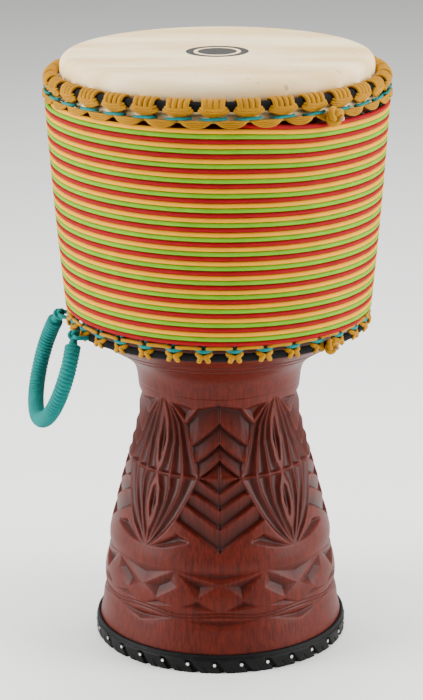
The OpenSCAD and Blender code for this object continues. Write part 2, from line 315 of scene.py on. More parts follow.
def smooth_radius(outline, height):
    """The outline's radius at each height: between two points, the smooth cubic through them whose
    slope at a point is that of the line between its neighbours. From the bowl's foot up, straight."""
    radius, level = np.array(outline, float).T
    order = np.argsort(level)
    radius, level = radius[order], level[order]
    slope = np.concatenate([[0], (radius[2:] - radius[:-2]) / (level[2:] - level[:-2]), [0]])
    k = np.clip(np.searchsorted(level, height, "right") - 1, 0, len(level) - 2)
    span = level[k + 1] - level[k]
    t = np.clip((height - level[k]) / span, 0, 1)
    curve = ((2 * t ** 3 - 3 * t ** 2 + 1) * radius[k] + (t ** 3 - 2 * t ** 2 + t) * span * slope[k]
             + (3 * t ** 2 - 2 * t ** 3) * radius[k + 1] + (t ** 3 - t ** 2) * span * slope[k + 1])
    return np.where(np.asarray(height) > bowl_foot, np.interp(height, level, radius), curve)


def fold(turn):
    """Degrees from the nearest chevron column, 0 to 45, for an angle from the front: the pattern comes
    four times round and mirrors about each column, and is a little wider at the front and sides."""
    pattern = turn + 3 * np.sin(np.radians(2 * turn))
    return np.abs((pattern + quarter / 2) % quarter - quarter / 2)


def follow(value, points):
    """The line through points, read at value: second coordinate for a given first."""
    first, second = np.array(points, float).T
    return np.interp(value, first, second)


# Ribs of a fan, above and below the equator, as distance from the equator and degrees from the column
ribs_above = [[[0, 14.5], [19, 19], [52, 27], [68, 36], [76, 43]],
              [[0, 25.5], [18, 27], [51, 32], [71, 40], [77, 44]],
              [[0, 35], [33, 34.3], [50, 36.6], [71, 41.4], [77, 44.4]],
              [[0, 45], [11, 41.7], [33, 39.8], [55, 41.5], [74, 44.8]]]
ribs_below = [[[0, 15], [23, 21.5], [41, 27], [56, 33.3], [75, 44.2]],
              [[0, 25.2], [17, 27.2], [35, 32], [53, 37.4], [74, 44.6]],
              [[0, 35.1], [13, 34.4], [29, 35.7], [46, 39], [74, 44.8]],
              [[0, 45], [15, 41.3], [30, 40.5], [45, 42], [58, 44.8]]]
# Chevrons of a column, as degrees from the column and distance from the equator
chevrons_above = [[[0, 0], [14, 0]], [[0, 19], [14, 0]], [[0, 34.6], [15.7, 16.5]], [[0, 55.7], [20, 32]],
                  [[0, 74], [16.8, 70.6], [25.6, 54]]]
chevrons_below = [[[0, 0], [14, 0]], [[0, 16], [14.2, 0.7]], [[0, 32], [7.5, 23.4], [15.7, 16.4]],
                  [[0, 51], [10, 39.2], [20.7, 28.3]], [[0, 73.6], [13, 57.4], [26.6, 43.5]]]


def fan_and_chevron_cut(turn, height, ribs, chevrons, reach):
    """Depth of the carving. Between two ribs, a round-bottomed groove: one minus the square of the
    share across it. Between two chevrons, a slope that deepens to a short step at the next one."""
    a, s = fold(turn), np.abs(height - equator)
    millimetres = np.radians(1) * smooth_radius(stem_outside, height)
    edges = [follow(s, rib) for rib in ribs]
    depth = np.zeros(np.broadcast(a, s).shape)
    for outer, inner in zip(edges[:-1], edges[1:]):
        gap = np.maximum(inner - outer, 0.01)
        t = (a - outer) / gap
        full = np.minimum(3.4, 0.42 * gap * millimetres)
        depth = np.where((t > 0) & (t < 1), full * (1 - (2 * t - 1) ** 2), depth)
    slit = (a - edges[-1] - 1.6) * millimetres
    slit_depth = np.clip(slit * 2.2 - 2.2, 0, 4.2) - np.clip(2.4 - (45 - a) * millimetres, 0, 2.4)
    depth = np.where(slit > 0, np.maximum(slit_depth, 0) * np.clip((s - 5) / 5, 0, 1), depth)
    depth = depth * np.clip(s / 2.5, 0, 1)
    steps = np.zeros_like(depth)
    for low, high in zip(chevrons[:-1], chevrons[1:]):
        below, above = follow(a, low), follow(a, high)
        t = (s - below) / np.maximum(above - below, 0.01)
        slope = np.minimum(t / 0.86, (1 - t) / 0.14) * 4.4
        steps = np.where((t > 0) & (t < 1), slope, steps)
    steps = steps + 1.1 * np.exp(-(a * millimetres / 1.1) ** 2)
    depth = np.where(a < edges[0], steps * np.clip((edges[0] - a) * millimetres / 1.5, 0, 1), depth)
    return depth * np.clip((reach - s) / 1.2, 0, 1)


def pocket(turn, height, corners, slope, deepest):
    """Depth of a chip-carved pocket: it falls away at slope from the nearest side of the outline, whose
    corners are degrees from the column and height, anticlockwise, down to the deepest it goes."""
    millimetres = np.radians(1) * smooth_radius(stem_outside, np.array(np.mean([c[1] for c in corners])))
    x, z = fold(turn) * millimetres, height
    outline = np.array(corners, float) * [millimetres, 1]
    inside = np.full(np.broadcast(x, z).shape, 1e3)
    for (x0, z0), (x1, z1) in zip(outline, np.roll(outline, -1, 0)):
        length = math.hypot(x1 - x0, z1 - z0)
        inside = np.minimum(inside, ((x1 - x0) * (z - z0) - (z1 - z0) * (x - x0)) / length)
    return np.clip(inside * slope, 0, deepest)


def upper_cut(turn, height):
    """Carving above the equator: the fans and chevrons, and a deep chip beside each fan's top."""
    depth = fan_and_chevron_cut(turn, height, ribs_above, chevrons_above, 77)
    chip = pocket(turn, height, [[18, 264], [27, 251], [39.5, 268.5], [30, 268]], 0.8, 3.2)
    return np.maximum(depth, chip)


def lower_cut(turn, height):
    """Carving below the equator, with a deep chip beside each fan's foot, down to the plain band."""
    depth = fan_and_chevron_cut(turn, height, ribs_below, chevrons_below, 74)
    chip = pocket(turn, height, [[18.2, 131], [32.3, 123], [44, 120.5], [26, 139.7], [19, 134.4]], 0.9, 4)
    return np.maximum(depth, chip)


foot_pockets = [([[-25.5, 102.8], [0, 90.5], [25.5, 102.8]], 0.6, 6),
                ([[25.5, 102.8], [45, 83], [64.5, 102.8]], 0.35, 6),
                ([[0.6, 89.5], [12.2, 76], [24.5, 100.5]], 0.6, 6),
                ([[24.8, 84.5], [35.4, 72], [44.6, 82], [26, 100.5]], 0.5, 6),
                ([[1, 62.5], [22, 66], [12.2, 74]], 0.8, 6),
                ([[24, 66], [45, 61.5], [35.4, 69.8]], 0.8, 6),
                ([[-24, 53], [0, 44], [24, 53]], 0.7, 6),
                ([[24, 53], [45, 43.5], [66, 53]], 0.7, 6)]


def foot_cut(turn, height):
    """Carving above the foot: rows of chip-carved pockets between the plain band and the foot's band,
    and two shallow arcs that swell and fall with the diamonds above them."""
    depth = np.zeros(np.broadcast(turn, height).shape)
    for corners, slope, deepest in foot_pockets:
        depth = np.maximum(depth, pocket(turn, height, corners, slope, deepest))
    swell = np.cos(np.radians(4 * fold(turn) * 2))
    for level in (59, 55.5):
        depth = np.maximum(depth, 1.5 - np.abs(height - level - 1.8 * swell) * 1.1)
    return np.maximum(depth, 0)


def bowl_cut(turn, height):
    """Two fine turned lines under the bowl."""
    lines = [1.9 - np.abs(height - level) * 1.1 for level in (310.5, 318.5)]
    return np.maximum(np.maximum(*lines), 0) + 0 * turn


def stained_wood():
    """Grain streaks up the log, twelve times longer than wide, with painted shade that darkens each cut by
    its depth.
    """
    made, tree, shader = new_material("stained_lacquered_hardwood", {"Specular IOR Level": 0.16})
    place = add_node(tree, "ShaderNodeTexCoord")
    upright = add_node(tree, "ShaderNodeMapping", {}, {"Vector": place.outputs["Object"],
                                                      "Scale": (1, 1, 0.08)})
    grain = add_node(tree, "ShaderNodeTexNoise", {}, {"Vector": upright.outputs[0], "Scale": 420.0,
                                                     "Detail": 5.0, "Roughness": 0.65})
    cloud = add_node(tree, "ShaderNodeTexNoise", {}, {"Vector": upright.outputs[0], "Scale": 26.0,
                                                     "Detail": 3.0})
    streaks = add_node(tree, "ShaderNodeValToRGB", {}, {"Fac": grain.outputs["Fac"]})
    streaks.color_ramp.elements[0].color = hex_colour("#380D05")
    streaks.color_ramp.elements[1].color = hex_colour("#661C0A")
    streaks.color_ramp.elements[0].position = 0.3
    streaks.color_ramp.elements[1].position = 0.72
    tinted = add_node(tree, "ShaderNodeMix", {"data_type": "RGBA", "blend_type": "MULTIPLY"},
                      {"Factor": 0.55, 6: streaks.outputs[0]})
    patches = add_node(tree, "ShaderNodeValToRGB", {}, {"Fac": cloud.outputs["Fac"]})
    patches.color_ramp.elements[0].color = hex_colour("#9A7468")
    patches.color_ramp.elements[1].color = hex_colour("#FFFFFF")
    tree.links.new(patches.outputs[0], tinted.inputs[7])
    # Painted shade: the carving depth of each cut darkens the wood towards #260703, as shade in the recesses
    cut = add_node(tree, "ShaderNodeAttribute", {"attribute_name": "cut_depth"})
    share = add_node(tree, "ShaderNodeMath", {"operation": "MULTIPLY", "use_clamp": True},
                     {0: cut.outputs["Fac"], 1: 0.21})
    colour = add_node(tree, "ShaderNodeMix", {"data_type": "RGBA"},
                      {"Factor": share.outputs[0], 6: tinted.outputs[2], 7: hex_colour("#260703")})
    matt = add_node(tree, "ShaderNodeMapRange", {}, {"Value": grain.outputs["Fac"], "To Min": 0.36,
                                                    "To Max": 0.55})
    relief = add_node(tree, "ShaderNodeBump", {}, {"Height": grain.outputs["Fac"], "Strength": 0.25,
                                                   "Distance": 0.0006})
    tree.links.new(colour.outputs[2], shader.inputs["Base Color"])
    tree.links.new(matt.outputs[0], shader.inputs["Roughness"])
    tree.links.new(relief.outputs[0], shader.inputs["Normal"])
    return made


wood = stained_wood()


def shell_part(name, levels, bore_levels, turns, cut, stands_for=()):
    """A closed ring of the log: up the outside, whose radius is the outline's less the carving, and
    down the bore, turned about the drum's axis."""
    turn = np.arange(turns) / turns * 360
    outside, bore = np.array(levels, float)[:, None], np.array(bore_levels, float)[:, None]
    depth = cut(turn[None, :], outside)
    radius = np.concatenate([smooth_radius(stem_outside, outside) - depth,
                             smooth_radius(bore_inside, bore) + 0 * turn[None, :]])
    height = np.concatenate([outside, bore]) + 0 * turn[None, :]
    depth = np.concatenate([depth, np.zeros((len(bore), turns))])
    angle = np.radians(turn)[None, :]
    points = np.stack([radius * np.sin(angle), -radius * np.cos(angle), height], -1) * MM
    return surface(name, points[None], True, wood, "drum", stands_for, depth)


bowl_levels = np.concatenate([np.linspace(275, 300, 16), np.linspace(300.8, 330, 46),
                              np.linspace(333, 560, 40), [562.5, 565, 567.5, 570]])
edge_turn = np.radians(np.linspace(0, 150, 12))
bearing_edge = np.stack([145 + 9 * np.cos(edge_turn), 599.15 + 9 * np.sin(edge_turn)], -1)
bowl_bore = np.linspace(592, 275, 50)


def bowl_part(turns):
    """The bowl: its outside, the rounded bearing edge over the neck, and the bore down to the waist."""
    turn = np.radians(np.arange(turns) / turns * 360)
    outside = bowl_levels[:, None]
    depth = bowl_cut(np.degrees(turn)[None, :], outside)
    edge = np.repeat(bearing_edge[:, None], turns, 1)
    radius = np.concatenate([smooth_radius(stem_outside, outside) - depth, edge[..., 0],
                             smooth_radius(bore_inside, bowl_bore[:, None]) + 0 * turn])
    height = np.concatenate([outside + 0 * turn, edge[..., 1], bowl_bore[:, None] + 0 * turn])
    depth = np.concatenate([depth, np.zeros((len(edge) + len(bowl_bore), turns))])
    points = np.stack([radius * np.sin(turn), -radius * np.cos(turn), height], -1) * MM
    return surface("shell_bowl", points[None], True, wood, "drum", ["shell"], depth)


bowl_part(360)
shell_part("shell_upper_carving", np.linspace(195, 275, 94), [275, 262, 236, 215, 195], 880, upper_cut)
shell_part("shell_lower_carving", np.linspace(103, 195, 104), [195, 170, 145, 120, 103], 880, lower_cut)
foot_levels = np.concatenate([[3, 10, 19, 30, 41], np.linspace(42, 103, 86)])
shell_part("shell_foot_carving", foot_levels, [103, 70, 40, 22, 3], 880, foot_cut)

# ---- Skin ---------------------------------------------------------------------------------------
# Shaved goatskin, soaked, drawn over the bearing edge and folded round the flesh ring while wet. It
# dries as tight as a board, with the pores and flecks of the hide still showing.
skin_thick = 1.8
head_height = 610
edge_centre = np.array([145, 599.15])
fold_centre = np.array([158.9, 575])
fold_radius = 4.8


def arc(centre, radius, first, last, count):
    """Points of an arc, in degrees from outwards, positive upwards."""
    turn = np.radians(np.linspace(first, last, count))
    return centre + radius * np.stack([np.cos(turn), np.sin(turn)], -1)


skin_profile = np.concatenate([
    np.stack([np.linspace(0, 144, 30), np.full(30, head_height)], -1), arc(edge_centre, 10.85, 90, 0, 10),
    [[155.8, 592], [155.8, 585], [155.9, 581]], arc(fold_centre, fold_radius, 112, -200, 22),
    arc(fold_centre, 3.05, -200, 112, 18), [[154.1, 581], [154.05, 590]], arc(edge_centre, 9.05, 0, 90, 10),
    np.stack([np.linspace(144, 0, 12), np.full(12, head_height - skin_thick)], -1)])


def goatskin():
    """Shaved hide: a warm cream with broad faint bands, short dark flecks that lie one way, and a plain
    black disc with a cream ring at the middle, 56 mm across."""
    made, tree, shader = new_material("shaved_goatskin", {"Roughness": 0.6, "Specular IOR Level": 0.4,
                                                          "Subsurface Weight": 0.08,
                                                          "Subsurface Scale": 0.004})
    place = add_node(tree, "ShaderNodeTexCoord")
    band_place = add_node(tree, "ShaderNodeMapping", {}, {"Vector": place.outputs["Object"],
                                                         "Scale": (2.2, 9, 3), "Rotation": (0, 0, 0.2)})
    bands = add_node(tree, "ShaderNodeTexNoise", {}, {"Vector": band_place.outputs[0], "Scale": 2.6,
                                                     "Detail": 4.0})
    tone = add_node(tree, "ShaderNodeValToRGB", {}, {"Fac": bands.outputs["Fac"]})
    tone.color_ramp.elements[0].color = hex_colour("#E3C083")
    tone.color_ramp.elements[1].color = hex_colour("#F8E0B0")
    tone.color_ramp.elements[0].position = 0.35
    tone.color_ramp.elements[1].position = 0.62
    fleck_place = add_node(tree, "ShaderNodeMapping", {}, {"Vector": place.outputs["Object"],
                                                          "Scale": (38, 120, 40), "Rotation": (0, 0, 0.1)})
    flecks = add_node(tree, "ShaderNodeTexVoronoi", {}, {"Vector": fleck_place.outputs[0], "Scale": 1.0})
    few = add_node(tree, "ShaderNodeTexNoise", {}, {"Vector": place.outputs["Object"], "Scale": 30.0})
    limit = add_node(tree, "ShaderNodeMath", {"operation": "MULTIPLY"}, {0: few.outputs["Fac"], 1: 0.2})
    fleck = add_node(tree, "ShaderNodeMath", {"operation": "LESS_THAN"},
                     {0: flecks.outputs["Distance"], 1: limit.outputs[0]})
    sparse = add_node(tree, "ShaderNodeMath", {"operation": "MULTIPLY"}, {0: fleck.outputs[0], 1: 0.6})
    flecked = add_node(tree, "ShaderNodeMix", {"data_type": "RGBA"},
                       {"Factor": sparse.outputs[0], 6: tone.outputs[0], 7: hex_colour("#9C7F57")})
    flat = add_node(tree, "ShaderNodeMapping", {}, {"Vector": place.outputs["Object"], "Scale": (1, 1, 0)})
    away = add_node(tree, "ShaderNodeVectorMath", {"operation": "LENGTH"}, {0: flat.outputs[0]})
    print_ring = add_node(tree, "ShaderNodeValToRGB", {"label": "print"}, {"Fac": away.outputs["Value"]})
    ramp = print_ring.color_ramp
    ramp.interpolation = "CONSTANT"
    ramp.elements[0].color = (1, 1, 1, 1)
    ramp.elements[1].color = (0, 0, 0, 1)
    ramp.elements[1].position = 0.028
    for position, value in ((0.0195, 0.0), (0.0215, 1.0)):
        ramp.elements.new(position).color = (value, value, value, 1)
    inked = add_node(tree, "ShaderNodeMix", {"data_type": "RGBA"},
                     {"Factor": print_ring.outputs[0], 6: flecked.outputs[2], 7: hex_colour("#17140F")})
    pores = add_node(tree, "ShaderNodeTexNoise", {}, {"Vector": place.outputs["Object"], "Scale": 900.0})
    relief = add_node(tree, "ShaderNodeBump", {}, {"Height": pores.outputs["Fac"], "Strength": 0.15,
                                                   "Distance": 0.0004})
    tree.links.new(inked.outputs[2], shader.inputs["Base Color"])
    tree.links.new(relief.outputs[0], shader.inputs["Normal"])
    return made


def turned(profile, turns, ripple=0.0, ripple_below=0.0, ripples=32):
    """A profile of radius and height turned about the axis, its radius rippled below a height."""
    turn = np.arange(turns) / turns * 2 * math.pi
    radius, height = np.array(profile, float)[:, :1], np.array(profile, float)[:, 1:]
    fade = np.clip((ripple_below - height) / 8, 0, 1) if ripple else 0
    radius = radius + ripple * fade * np.cos(ripples * turn)[None, :]
    return np.stack([radius * np.sin(turn), -radius * np.cos(turn), height + 0 * turn], -1) * MM


skin = surface("skin", turned(skin_profile, 256, 0.35, 590)[None], False, goatskin(), "drum",
               ["drumhead"])

# ---- Rings --------------------------------------------------------------------------------------
# Round mild steel bar, bent and welded into rings. The crown and bottom rings are wound with strips
# of black cotton cloth, which grip the cord, each turn of cloth lapping over the one before.
steel, steel_tree, steel_shader = new_material("welded_steel_bar", {"Metallic": 1.0})
steel_place = add_node(steel_tree, "ShaderNodeTexCoord")
steel_dull = add_node(steel_tree, "ShaderNodeTexNoise", {}, {"Vector": steel_place.outputs["Object"],
                                                            "Scale": 300.0, "Detail": 3.0})
steel_tone = add_node(steel_tree, "ShaderNodeMix", {"data_type": "RGBA"},
                      {"Factor": steel_dull.outputs["Fac"], 6: hex_colour("#8C8C8A"),
                       7: hex_colour("#A9A8A4")})
steel_rough = add_node(steel_tree, "ShaderNodeMapRange", {}, {"Value": steel_dull.outputs["Fac"],
                                                             "To Min": 0.35, "To Max": 0.6})
steel_tree.links.new(steel_tone.outputs[2], steel_shader.inputs["Base Color"])
steel_tree.links.new(steel_rough.outputs[0], steel_shader.inputs["Roughness"])
for bar in ("flesh_ring", "crown_ring", "bottom_ring"):
    frame["nodes"][bar].data.materials.clear()
    frame["nodes"][bar].data.materials.append(steel)

# Black cotton: a plain weave of 0.8 mm threads, matt, with the tops of the threads painted a little lighter
# and painted shade between them
cloth, cloth_tree, cloth_shader = new_material("black_cotton_strip", {"Roughness": 0.9,
                                                                     "Specular IOR Level": 0.15})
cloth_uv = add_node(cloth_tree, "ShaderNodeUVMap", {"uv_map": "lay"})
thread = 0.8 * MM
threads = [add_node(cloth_tree, "ShaderNodeTexWave", {"bands_direction": way},
                    {"Vector": cloth_uv.outputs[0], "Scale": math.pi / 10 / thread}) for way in "XY"]
weave = add_node(cloth_tree, "ShaderNodeMath", {"operation": "MULTIPLY"},
                 {0: threads[0].outputs["Fac"], 1: threads[1].outputs["Fac"]})
# Painted highlight and shade: the colour follows the weave's height, lighter on the thread tops and darker
# between the threads
cloth_weave_shade = add_node(cloth_tree, "ShaderNodeMix", {"data_type": "RGBA"},
                      {"Factor": weave.outputs[0], 6: hex_colour("#070707"), 7: hex_colour("#1B1B1C")})
cloth_relief = add_node(cloth_tree, "ShaderNodeBump", {}, {"Height": weave.outputs[0], "Strength": 0.5,
                                                          "Distance": 0.0003})
cloth_tree.links.new(cloth_weave_shade.outputs[2], cloth_shader.inputs["Base Color"])
cloth_tree.links.new(cloth_relief.outputs[0], cloth_shader.inputs["Normal"])


def wound_ring(name, centre, radius, laps, node):
    """A ring wound with cloth: round the axis a circle of radius, which loses 6 in a hundred from the
    start to the end of each lap, and the lap moves round the section by one turn each time."""
    columns, rows = 14, laps * 5
    turn = (np.arange(rows) / rows * 2 * math.pi)[:, None]
    section = (np.arange(columns) / columns * 2 * math.pi)[None, :]
    share = (turn * laps / (2 * math.pi) + section / (2 * math.pi)) % 1
    swell = radius * (1 - 0.06 * share)
    reach = centre[0] + swell * np.cos(section)
    points = np.stack([reach * np.sin(turn), -reach * np.cos(turn), centre[1] + swell * np.sin(section)], -1)
    return surface(name, points[None] * MM, True, cloth, "drum", [node])


crown_centre = np.array([164.4, 587.2])
bottom_centre = np.array([148.6, 339.0])
wound_ring("crown_cloth_winding", crown_centre, 5.0, 110, "crown_ring_cloth")
wound_ring("bottom_cloth_winding", bottom_centre, 4.0, 110, "bottom_ring_cloth")

# ---- Crown hitches and half-moons ---------------------------------------------------------------
# Yellow braided cord, hitched 32 times round the crown ring: four strands over the ring, four more
# that sweep round below them, and a half-moon of four strands that hangs to the next hitch.
hitches = 32
step = 360 / hitches
crown_start = -1.3
yellow_cord = braided_cord("yellow_braided_polyester", "#D09200", "#4A2A00", 2.1 * MM)


def placed(angles, across, reach, height):
    """Paths at each of the angles: distance across the front in mm, radius and height, one row per
    strand, become points. The result has one path for each angle and strand."""
    turn = np.radians(np.array(angles))[:, None, None] + (across / reach)[None]
    paths = np.stack([reach * np.sin(turn), -reach * np.cos(turn), height + 0 * turn], -1) * MM
    return paths.reshape(-1, *paths.shape[2:])


def out_from_axis(paths):
    """Unit vectors that point straight out from the drum's axis at each point."""
    return unit(paths * np.array([1, 1, 0]))


crown_angles = crown_start + np.arange(hitches) * step
over_turn = np.radians(np.linspace(150, -30, 9))[None, :]
over_across = np.array([-9.2, -3.5, 2.7, 8.8])[:, None] * (1 - 0.1 * np.cos(over_turn))
over_reach = crown_centre[0] + 6.7 * np.cos(over_turn) + 0 * over_across
over_height = crown_centre[1] + 6.7 * np.sin(over_turn) + 0 * over_across
over_paths = placed(crown_angles, over_across, over_reach, over_height)
section_way = np.tile(np.stack([np.cos(over_turn[0]), np.sin(over_turn[0])], -1), (len(over_paths), 1, 1))
over_facing = out_from_axis(over_paths) * section_way[..., :1] + np.array([0, 0, 1]) * section_way[..., 1:]
surface("crown_hitch_strands", rope(over_paths, 2.8 * MM, 1.75 * MM, over_facing, 8), False, yellow_cord,
        "drum", ["crown_hitches"])

sweep = np.linspace(-1, 1, 9)[None, :]
sweep_width = np.array([11.6, 13.2, 13.6, 11.4])[:, None]
sweep_low = np.array([585.6, 583.0, 580.6, 578.6])[:, None]
sweep_rise = np.array([1.4, 1.8, 2.8, 4.0])[:, None]
sweep_across = sweep * sweep_width
sweep_height = sweep_low + sweep_rise * sweep ** 2
sweep_reach = crown_centre[0] + np.sqrt(np.maximum(6.9 ** 2 - (sweep_height - crown_centre[1]) ** 2, 9))
sweep_reach = sweep_reach + 0.6 - 1.8 * np.abs(sweep) ** 4
sweep_paths = placed(crown_angles, sweep_across, sweep_reach, sweep_height)
surface("crown_hitch_sweeps", rope(sweep_paths, 1.45 * MM, 1.7 * MM, out_from_axis(sweep_paths), 8), False,
        yellow_cord, "drum")

moon_width = np.array([16.2, 16.0, 15.6, 15.0])[:, None]
moon_drop = np.array([0.0, 1.9, 3.8, 5.6])[:, None]
moon_across = sweep * moon_width
moon_height = 574.4 - moon_drop * (1 - np.abs(sweep) ** 2.3)
moon_reach = 171.9 - 3.2 * sweep ** 4 + 0 * moon_drop
moon_paths = placed(crown_angles + step / 2, moon_across, moon_reach, moon_height)
surface("crown_half_moons", rope(moon_paths, 1.12 * MM, 1.6 * MM, out_from_axis(moon_paths), 8), False,
        yellow_cord, "drum", ["crown_cradles"])

# ---- Tension rope -------------------------------------------------------------------------------
# One teal braided rope laced in a zig-zag between the rings. It shows only where it crosses in front
# of each crown hitch and under each bottom hitch; its runs lie on the bowl beneath the windings.
lace = np.linspace(-1, 1, 11)[None, :]
lace_height = 576.6 + 0.55 * lace + 0.3 * np.cos(lace * math.pi)
lace_paths = placed(crown_angles, 11.5 * lace, 171.2 - 3.0 * lace ** 4, lace_height)
surface("crown_teal_lacing", rope(lace_paths, 1.5 * MM, 1.7 * MM, out_from_axis(lace_paths), 8), False,
        teal_cord, "drum", ["crown_lacing"])
bottom_past = 1.4
bottom_angles = crown_angles + step / 2 + bottom_past
bottom_lace_height = 346.2 + 2.0 * lace ** 2
bottom_lace_paths = placed(bottom_angles, 7.6 * lace, 153.3 - 2.2 * lace ** 2, bottom_lace_height)
bottom_lace_ropes = rope(bottom_lace_paths, 1.9 * MM, 1.6 * MM, out_from_axis(bottom_lace_paths), 8)
surface("bottom_teal_lacing", bottom_lace_ropes, False, teal_cord, "drum", ["bottom_lacing"])
run_share = np.linspace(0, 1, 9)
bowl_low, bowl_high = np.array([145.5, 352.0]), np.array([161.6, 560.0])
run_top, run_foot, run_clear = 564, 347, 2.4
run_height = run_top + (run_foot - run_top) * run_share
bowl_share = (run_height - bowl_low[1]) / (bowl_high[1] - bowl_low[1])
run_reach = bowl_low[0] + (bowl_high[0] - bowl_low[0]) * bowl_share
runs = []
for side in (-1, 1):
    top_turn, low_turn = crown_angles + side * 2.5, crown_angles + side * (step / 2 - 1)
    turn = np.radians(top_turn[:, None] * (1 - run_share) + low_turn[:, None] * run_share)
    reach = (run_reach + run_clear) * MM
    runs.append(np.stack([reach * np.sin(turn), -reach * np.cos(turn), run_height * MM + 0 * turn], -1))
runs = np.concatenate(runs)
surface("tension_rope_runs", rope(runs, 2.1 * MM, 2.1 * MM, out_from_axis(runs), 8), False, teal_cord, "drum",
        ["tension_rope"])

# ---- Windings -----------------------------------------------------------------------------------
# Three braided cords, amber, green and red, wound together round the bowl over the tension rope, so
# that each goes down the bowl as a coil with the other two between its turns.
winding_pitch = 4.79
winding_radius = 2.36
lay_step = 3 * winding_pitch
top_height, last_height = 565.0, 354.2


def winding(name, front_height, first, last, material, node, sides=10):
    """A coil: height falls by one lay for each turn from front_height at the front. Right of the front
    the upper turns drop by up to settle, and ease back up behind the drum. The radius follows the
    bowl's slope with a slight swell, and both ends tuck in by tuck over their last tuck_span."""
    settle, tuck, tuck_span, points_each_turn = 4.2, 3.2, 14, 170
    count = int((last - first) / 360 * points_each_turn)
    degrees = np.linspace(first, last, count)[None, :]
    height = front_height - lay_step * degrees / 360
    side = (degrees + 180) % 360 - 180
    ease = np.clip((side - 5) / 30, 0, 1)
    drop = np.where(side > -60, ease * ease * (3 - 2 * ease), (-60 - side) / 120)
    height = height - settle * drop * np.exp(-(top_height + winding_pitch - height) / 60)
    share = (height - last_height) / 200
    reach = 153 + 15.6 * share + 0.9 * np.sin(math.pi * np.clip(share, 0, 1))
    to_end = np.minimum(degrees - first, last - degrees)
    reach = reach - tuck * np.clip(1 - to_end / tuck_span, 0, 1) ** 2
    turn = np.radians(degrees)
    path = np.stack([reach * np.sin(turn), -reach * np.cos(turn), height], -1) * MM
    points = rope(path, winding_radius * MM, winding_radius * MM, out_from_axis(path), sides)
    return surface(name, points, False, material, "drum", [node])


# Red, amber and green polyester, braided like the yellow, matt, with painted shade darkening the braid
# between plaits
red_cord = braided_cord("red_braided_polyester", "#AE000E", "#520005", winding_radius * MM)
amber_cord = braided_cord("amber_braided_polyester", "#F4AA00", "#BC7C00", winding_radius * MM)
green_cord = braided_cord("green_braided_polyester", "#86C41C", "#3A6E0A", winding_radius * MM)
rings_each = 15
winding("winding_amber_cord", top_height, -75, 360 * (rings_each - 1) + 285, amber_cord,
        "winding_amber")
winding("winding_green_cord", top_height - winding_pitch, -285, 360 * (rings_each - 1) + 175, green_cord,
        "winding_green")
winding("winding_red_cord", top_height + winding_pitch, 6, 360 * rings_each + 72, red_cord,
        "winding_red")

# ---- Bottom hitches -----------------------------------------------------------------------------
# The same yellow cord hitched round the bottom ring: at each hitch two arms reach up and two lobes
# hang down, and a bar of cord runs to the next hitch under the last winding.
wing = np.linspace(0, 1, 8)[None, :]
sides = np.array([-1, 1])[:, None]
arm_across = sides * (1.4 + 5.8 * wing)
arm_height = 340.6 + 3.0 * wing ** 1.4
lobe_across = sides * (1.5 + 3.0 * np.sin(wing * math.pi / 2))
lobe_height = 341.0 - 5.0 * wing


def round_bottom_ring(height, out):
    """Radius of a strand's middle where it lies on the bottom ring's cloth at that height."""
    return bottom_centre[0] + np.sqrt(np.maximum(out ** 2 - (height - bottom_centre[1]) ** 2, 1))


arm_paths = placed(bottom_angles, arm_across, round_bottom_ring(arm_height, 5.0) - 1.0 * wing + 0 * sides,
                   arm_height + 0 * sides)
lobe_paths = placed(bottom_angles, lobe_across, round_bottom_ring(lobe_height, 5.1) + 0 * sides,
                    lobe_height + 0 * sides)
hitch_paths = np.concatenate([arm_paths, lobe_paths])
surface("bottom_hitch_strands", rope(hitch_paths, 2.5 * MM, 1.6 * MM, out_from_axis(hitch_paths), 8), False,
        yellow_cord, "drum", ["bottom_hitches"])
bar_paths = placed(bottom_angles + step / 2, 11.6 * lace, 153.2 - 0.8 * lace ** 4, 349.9 - 0.7 * lace ** 2)
surface("bottom_yellow_bars", rope(bar_paths, 1.9 * MM, 1.7 * MM, out_from_axis(bar_paths), 8), False,
        yellow_cord, "drum", ["bottom_cradles"])

# ---- Tie-off knots ------------------------------------------------------------------------------
# Each yellow cord ends in an overhand knot pulled tight over the last hitch. The cut end is melted
# with a flame to a hard brown bead, so that it can't fray.
melted, melted_tree, melted_shader = new_material("melted_polyester_end", {"Roughness": 0.35, "IOR": 1.57})
melted_place = add_node(melted_tree, "ShaderNodeTexCoord")
scorch = add_node(melted_tree, "ShaderNodeTexNoise", {}, {"Vector": melted_place.outputs["Object"],
                                                         "Scale": 420.0, "Detail": 3.0})
melted_tone = add_node(melted_tree, "ShaderNodeMix", {"data_type": "RGBA"},
                       {"Factor": scorch.outputs["Fac"], 6: hex_colour("#4A2410"), 7: hex_colour("#D9A65A")})
melted_tree.links.new(melted_tone.outputs[2], melted_shader.inputs["Base Color"])
up = np.array([0, 0, 1.0])


def tie_off(name, node, end_node, angle, back, height, ring, tube_r, strand, bead):
    """A knot that faces out from the drum at an angle, and the melted bead at the end of its cord."""
    turn = math.radians(angle)
    out = np.array([math.sin(turn), -math.cos(turn), 0])
    centre = out * (back + tube_r + strand) * MM + up * height * MM
    line = trefoil(centre, out, up, ring * MM, tube_r * MM)[None]
    facing = unit(line - centre)
    surface(name, rope(line, strand * MM, strand * MM, facing, 12, True), True, yellow_cord, "drum",
            [node])
    right = np.array([math.cos(turn), math.sin(turn), 0])
    tip = (centre + (right * ring * 0.75 - up * ring * 0.4 + out * (tube_r + strand * 0.5)) * MM
           + np.outer([0, 0.5, 1.0, 1.5], out + right * 0.5) * MM)
    surface(name + "_melted_end", rope(tip[None], bead * MM, bead * 0.85 * MM, up, 12), False, melted, "drum",
            [end_node])


tie_off("crown_tie_knot", "crown_knot", "crown_knot_end", 38.1, 172.6, 573, 4.9, 2.4, 3.1, 2.9)
tie_off("bottom_tie_knot", "bottom_knot", "bottom_knot_end", 43.5, 154.6, 340, 3.9, 1.9, 2.5, 2.5)

